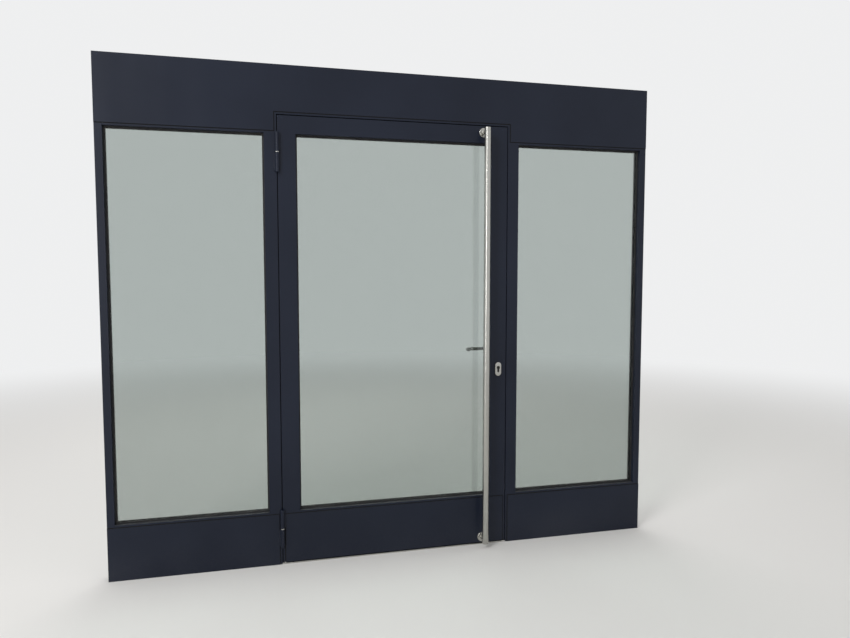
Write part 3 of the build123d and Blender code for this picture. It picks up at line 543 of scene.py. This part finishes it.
# Raised screws in the glazing beads and countersunk ones in the lock's faceplate and the keep. Points of a
# raised head are (radius, height), and a lock screw is (z, length)
screws = {"around": 16, "rings": 5, "slotLong": 0.0022, "slotHalf": 0.0007, "slotDeep": 0.0012,
          "crown": 0.0003, "spacing": 0.3, "beadMiddle": 0.0075, "face": 0.035, "head": 0.0045,
          "shank": 0.0025, "cone": 0.002,
          "raised": ((0.0031, 0.0003), (0.0033, 0.0), (0.0033, -0.0002), (0.0, -0.0002))}
lockScrews = {"y": 0.003, "leafX": 0.5819, "leaf": ((0.8975, 0.006), (1.1325, 0.006), (0.9505, 0.035)),
              "frameX": 0.5871, "frame": ((0.991, 0.018), (1.115, 0.018))}


def screwShell(origin, along, across, up, flank, domed=True):
    # rings from the top over the rim and down the flank, with heights that go out from the seat; a domed top
    # falls with the squared radius, and the cross recess gets evenly deeper toward the middle
    angle = np.linspace(0, 2 * pi, screws["around"], endpoint=False)
    rim, rise = flank[0]
    top = np.linspace(0, 1, screws["rings"])[:-1] * rim
    radius = np.append(top, [r for r, h in flank])
    crown = np.append(rise + domed * screws["crown"] * (1 - (top / rim) ** 2), [h for r, h in flank])
    x, z = radius[:, None] * np.cos(angle), radius[:, None] * np.sin(angle)
    inSlot = np.minimum(np.abs(x), np.abs(z)) < screws["slotHalf"]
    deep = np.clip(1 - radius / screws["slotLong"], 0, 1) * screws["slotDeep"]
    deep[len(top):] = 0
    height = crown[:, None] - deep[:, None] * inSlot
    points = (np.array(origin) + height[..., None] * np.array(along) + x[..., None] * np.array(across)
              + z[..., None] * np.array(up))
    return points.reshape(-1, 3), gridFaces(len(radius), screws["around"], False)


def spaced(start, end):
    # the middles of as few equal lengths from start to end as keep to the spacing
    count = int(np.ceil((end - start) / screws["spacing"]))
    return start + (np.arange(count) + 0.5) * (end - start) / count


def beadScrews(view):
    # spaced along the middle line of the four glazing beads of one view
    (left, right), (bottom, top) = view
    out = screws["beadMiddle"]
    places = [(x, z) for x in (left - out, right + out) for z in spaced(bottom, top)]
    places += [(x, z) for z in (bottom - out, top + out) for x in spaced(left, right)]
    return [screwShell((x, screws["face"], z), (0, 1, 0), (1, 0, 0), (0, 0, 1), screws["raised"])
            for x, z in places]


newPiece("sidelightBeadScrews", beadScrews(views["left"]) + beadScrews(views["right"]), "frame", "stainless")
newPiece("leafBeadScrews", beadScrews(views["door"]), "leaf", "stainless")
for body, way, node in (("leaf", 1, "lock_screws"), ("frame", -1, "keep_screws")):
    head, shank = screws["head"], screws["shank"]
    shells = [screwShell((lockScrews[body + "X"], lockScrews["y"], z), (way, 0, 0), (0, 1, 0), (0, 0, 1),
                         ((head, 0.0), (shank, -screws["cone"]), (shank, -long), (0.0, -long)), domed=False)
              for z, long in lockScrews[body]]
    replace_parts(newPiece(body + "LockScrews", shells, body, "zinc_steel"), node)
print("sealant, welds and screws")

# Oval plates around the cylinder and the lever
ovals = {"x": 0.552, "lockZ": 0.962, "leverZ": 1.062, "half": 0.0175, "caps": 0.02, "thick": 0.009,
         "round": 0.0032, "steps": 7, "around": 144, "rim": 0.0006, "leverHole": 0.0103,
         "keyTop": 0.0088, "keyTopUp": 0.008, "keyWeb": 0.0053, "keyBottomDown": 0.0115, "seat": 0.035,
         "leastSine": 1e-9}


def capsule(angle, half):
    # from the middle to the rim of a slot: half over the sine to its straight sides, and to its round ends
    # the far crossing of a ray with a circle
    side = half / np.maximum(np.abs(np.sin(angle)), ovals["leastSine"])
    bow = np.sqrt(np.maximum(half ** 2 - (ovals["caps"] * np.sin(angle)) ** 2, 0))
    end = ovals["caps"] * np.abs(np.cos(angle)) + bow
    return np.where(np.abs(np.tan(angle)) > half / ovals["caps"], side, end)


def keyhole(angle, grow):
    # the same for a profile cylinder: a circle above, a web, and a round foot
    top, web = ovals["keyTop"] + grow, ovals["keyWeb"] + grow
    up, down = ovals["keyTopUp"], ovals["keyBottomDown"]
    sine, cosine = np.abs(np.sin(angle)), np.cos(angle)
    circle = up * cosine + np.sqrt(np.maximum(top ** 2 - (up * sine) ** 2, 0))
    side = web / np.maximum(sine, ovals["leastSine"])
    foot = -down * cosine + np.sqrt(np.maximum(web ** 2 - (down * sine) ** 2, 0))
    join = np.arctan2(web, up - np.sqrt(top ** 2 - web ** 2))
    turned = np.arccos(np.clip(cosine, -1, 1))
    return np.where(turned < join, circle, np.where(turned < pi - np.arctan2(web, down), side, foot))


def roundHole(angle, grow):
    # the same distance all round
    return np.full_like(angle, ovals["leverHole"] + grow)


def ovalShell(middleZ, facing, hole):
    # rings from the seat up over a rim rounded by a quarter turn's sine and cosine, in to the hole and back
    # down to the seat
    angle = np.linspace(0, 2 * pi, ovals["around"], endpoint=False)
    turn = np.linspace(0, pi / 2, ovals["steps"])
    inset = ovals["round"] * (1 - np.cos(turn))
    height = ovals["thick"] - ovals["round"] * (1 - np.sin(turn))
    rings = [(capsule(angle, ovals["half"]), 0.0)]
    rings += [(capsule(angle, ovals["half"] - i), h) for i, h in zip(inset, height)]
    rings += [(hole(angle, ovals["rim"]), ovals["thick"]), (hole(angle, 0.0), ovals["thick"] - ovals["rim"]),
              (hole(angle, 0.0), 0.0)]
    reach = np.array([ring for ring, rise in rings])
    rise = np.array([rise for ring, rise in rings])
    x = ovals["x"] + reach * np.sin(angle)
    z = middleZ + reach * np.cos(angle)
    y = np.broadcast_to((facing * (ovals["seat"] + rise))[:, None], x.shape)
    return np.stack([x, y, z], axis=2).reshape(-1, 3), gridFaces(len(rings), ovals["around"])


lockOvals = newPiece("cylinderOvals", [ovalShell(ovals["lockZ"], side, keyhole) for side in (-1, 1)],
                     "leaf", "stainless")
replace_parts(lockOvals, "cylinder_plates")
leverOval = newPiece("leverOval", [ovalShell(ovals["leverZ"], 1, roundHole)], "leaf", "stainless")
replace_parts(leverOval, "lever_plate")

# Feet and end caps of the pull bar, turned parts
barParts = {"x": 0.464, "y": -0.1, "feetZ": (0.043, 2.213), "feetSeat": (-0.037, -0.035),
            "footRadius": 0.025, "footBore": 0.0103, "footThick": 0.007, "footRoll": 0.0028, "dish": 0.0009,
            "rollSteps": 7, "faceSteps": 6, "ends": (0.027, 2.229), "radius": 0.017, "capThick": 0.003,
            "capSoft": 0.0008, "capCrown": 0.0005, "capSteps": 5, "spigot": 0.0147, "spigotLong": 0.008,
            "around": 96}


def turnedShell(profile, origin, along, across, up):
    # each profile point (radius, height) goes once round the line from origin along its axis; a profile that
    # keeps off that line closes on itself
    angle = np.linspace(0, 2 * pi, barParts["around"], endpoint=False)
    spin = np.cos(angle)[:, None] * np.array(across) + np.sin(angle)[:, None] * np.array(up)
    radius, height = profile.T
    points = np.array(origin) + height[:, None, None] * np.array(along) + radius[:, None, None] * spin[None]
    return points.reshape(-1, 3), gridFaces(len(profile), barParts["around"], bool(radius.min() > 0))


def footProfile():
    # a disc whose rim rolls over by a quarter turn's sine and cosine and whose face dips by half a sine wave
    radius, bore, thick, roll = (barParts[key] for key in ("footRadius", "footBore", "footThick", "footRoll"))
    turn = np.linspace(0, pi / 2, barParts["rollSteps"])
    rim = np.stack([radius - roll * (1 - np.cos(turn)), thick - roll * (1 - np.sin(turn))], axis=1)
    across = np.linspace(radius - roll, bore, barParts["faceSteps"])[1:]
    dip = barParts["dish"] * np.sin(pi * (across - bore) / (radius - roll - bore))
    return np.concatenate([[(bore, 0.0), (radius, 0.0)], rim, np.stack([across, thick - dip], axis=1)])


def capProfile():
    # the spigot that sits in the tube, then a cap whose edge is softened by a quarter turn and whose crown
    # falls with the squared radius
    radius, thick, soft, crown = (barParts[key] for key in ("radius", "capThick", "capSoft", "capCrown"))
    turn = np.linspace(0, pi / 2, barParts["capSteps"])
    edge = np.stack([radius - soft * (1 - np.cos(turn)), thick - crown - soft * (1 - np.sin(turn))], axis=1)
    across = np.linspace(radius - soft, 0, barParts["faceSteps"])[1:]
    top = np.stack([across, thick - crown * (across / radius) ** 2], axis=1)
    spigot, long = barParts["spigot"], barParts["spigotLong"]
    return np.concatenate([[(0, -long), (spigot, -long), (spigot, 0), (radius, 0)], edge, top])


feet = [turnedShell(footProfile(), (barParts["x"], seat, z), (0, -1, 0), (1, 0, 0), (0, 0, 1))
        for z, seat in zip(barParts["feetZ"], barParts["feetSeat"])]
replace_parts(newPiece("barFeet", feet, "leaf", "stainless"), "bar_rosettes")
caps = [turnedShell(capProfile(), (barParts["x"], barParts["y"], end + barParts["capThick"] * way),
                    (0, 0, -way), (1, 0, 0), (0, 1, 0)) for end, way in zip(barParts["ends"], (1, -1))]
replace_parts(newPiece("barEnds", caps, "leaf", "stainless"), "bar_caps")
print("turned parts", len(feet) + len(caps))

# Camera: the photograph's standpoint, left of the middle at eye height
view = {"place": (-0.7234, -3.479, 1.489), "tilt": 4.02, "pan": 14.17, "lens": 28.81, "sensor": 36}
camera = bpy.data.objects.new("camera", bpy.data.cameras.new("camera"))
scene.collection.objects.link(camera)
camera.location = view["place"]
camera.rotation_euler = (radians(90 - view["tilt"]), 0, radians(-view["pan"]))
camera.data.lens = view["lens"]
camera.data.sensor_width = view["sensor"]
scene.camera = camera

# Floor, world and lamps
studio = {"floor": (0.78, 0.77, 0.75, 1), "back": (0.86, 0.865, 0.87, 1), "ambient": 0.62, "half": 30.0,
          "level": -0.0002, "fade": (3.5, 9.0)}


def seenRays(start):
    # 1 for rays that show what is behind the object: the greatest of straight, mirrored and through glass
    straight, mirrored, through = (start.node("LightPath", out=ray)
                                   for ray in ("Is Camera Ray", "Is Glossy Ray", "Is Transmission Ray"))
    return straight.math("MAXIMUM", straight.math("MAXIMUM", straight, mirrored), through)


def floorFinish():
    # a matt floor that goes over into the backdrop's colour with the distance from the middle
    material = bpy.data.materials.new("paleFloor")
    start = emptyTree(material)
    place = start.node("TexCoord", out="Object")
    away = start.node("VectorMath", {"operation": "LENGTH"}, {0: place}, out="Value")
    matt = start.node("BsdfDiffuse", {}, {"Color": studio["floor"]})
    fade = start.node("Emission", {}, {"Color": studio["back"], "Strength": 1.0})
    both = start.node("MixShader", {}, {0: away.step(*studio["fade"]) * seenRays(start), 1: matt, 2: fade})
    start.node("OutputMaterial", {}, {"Surface": both})
    return material


half = studio["half"]
corners = [(x, y, studio["level"]) for x, y in ((-half, -half), (half, -half), (half, half), (-half, half))]
floorMesh = bpy.data.meshes.new("floor")
floorMesh.from_pydata(corners, [], [(0, 1, 2, 3)])
floorMesh.materials.append(floorFinish())
floor = bpy.data.objects.new("floor", floorMesh)
scene.collection.objects.link(floor)
floor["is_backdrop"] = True

world = bpy.data.worlds.new("studio")
start = emptyTree(world)
ambient = start.node("Background", {}, {"Color": (1, 1, 1, 1), "Strength": studio["ambient"]})
back = start.node("Background", {}, {"Color": studio["back"], "Strength": 1.0})
both = start.node("MixShader", {}, {0: seenRays(start), 1: ambient, 2: back})
start.node("OutputWorld", {}, {"Surface": both})
scene.world = world

lamps = {"key": {"place": (-4.6, -4.4, 5.2), "aim": (0, 0, 1.0), "size": (2.6, 2.2), "power": 235,
                 "spread": 180},
         "tall": {"place": (-2.9, -3.8, 1.7), "aim": (0.46, -0.1, 1.65), "size": (0.4, 2.5), "power": 8.2,
                  "spread": 90},
         "rear": {"place": (0.5, 4.8, 4.2), "aim": (0, 0, 1.2), "size": (4.0, 2.0), "power": 90,
                  "spread": 180}}
for name, lamp in lamps.items():
    light = bpy.data.lights.new(name, "AREA")
    light.shape = "RECTANGLE"
    light.size, light.size_y = lamp["size"]
    light.energy = lamp["power"]
    light.spread = radians(lamp["spread"])
    stand = bpy.data.objects.new(name, light)
    scene.collection.objects.link(stand)
    stand.location = lamp["place"]
    aim = Vector(lamp["aim"]) - stand.location
    stand.rotation_euler = aim.to_track_quat("-Z", "Y").to_euler()
scene.view_settings.view_transform = "Standard"
print("camera, floor and lamps")

low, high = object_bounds()
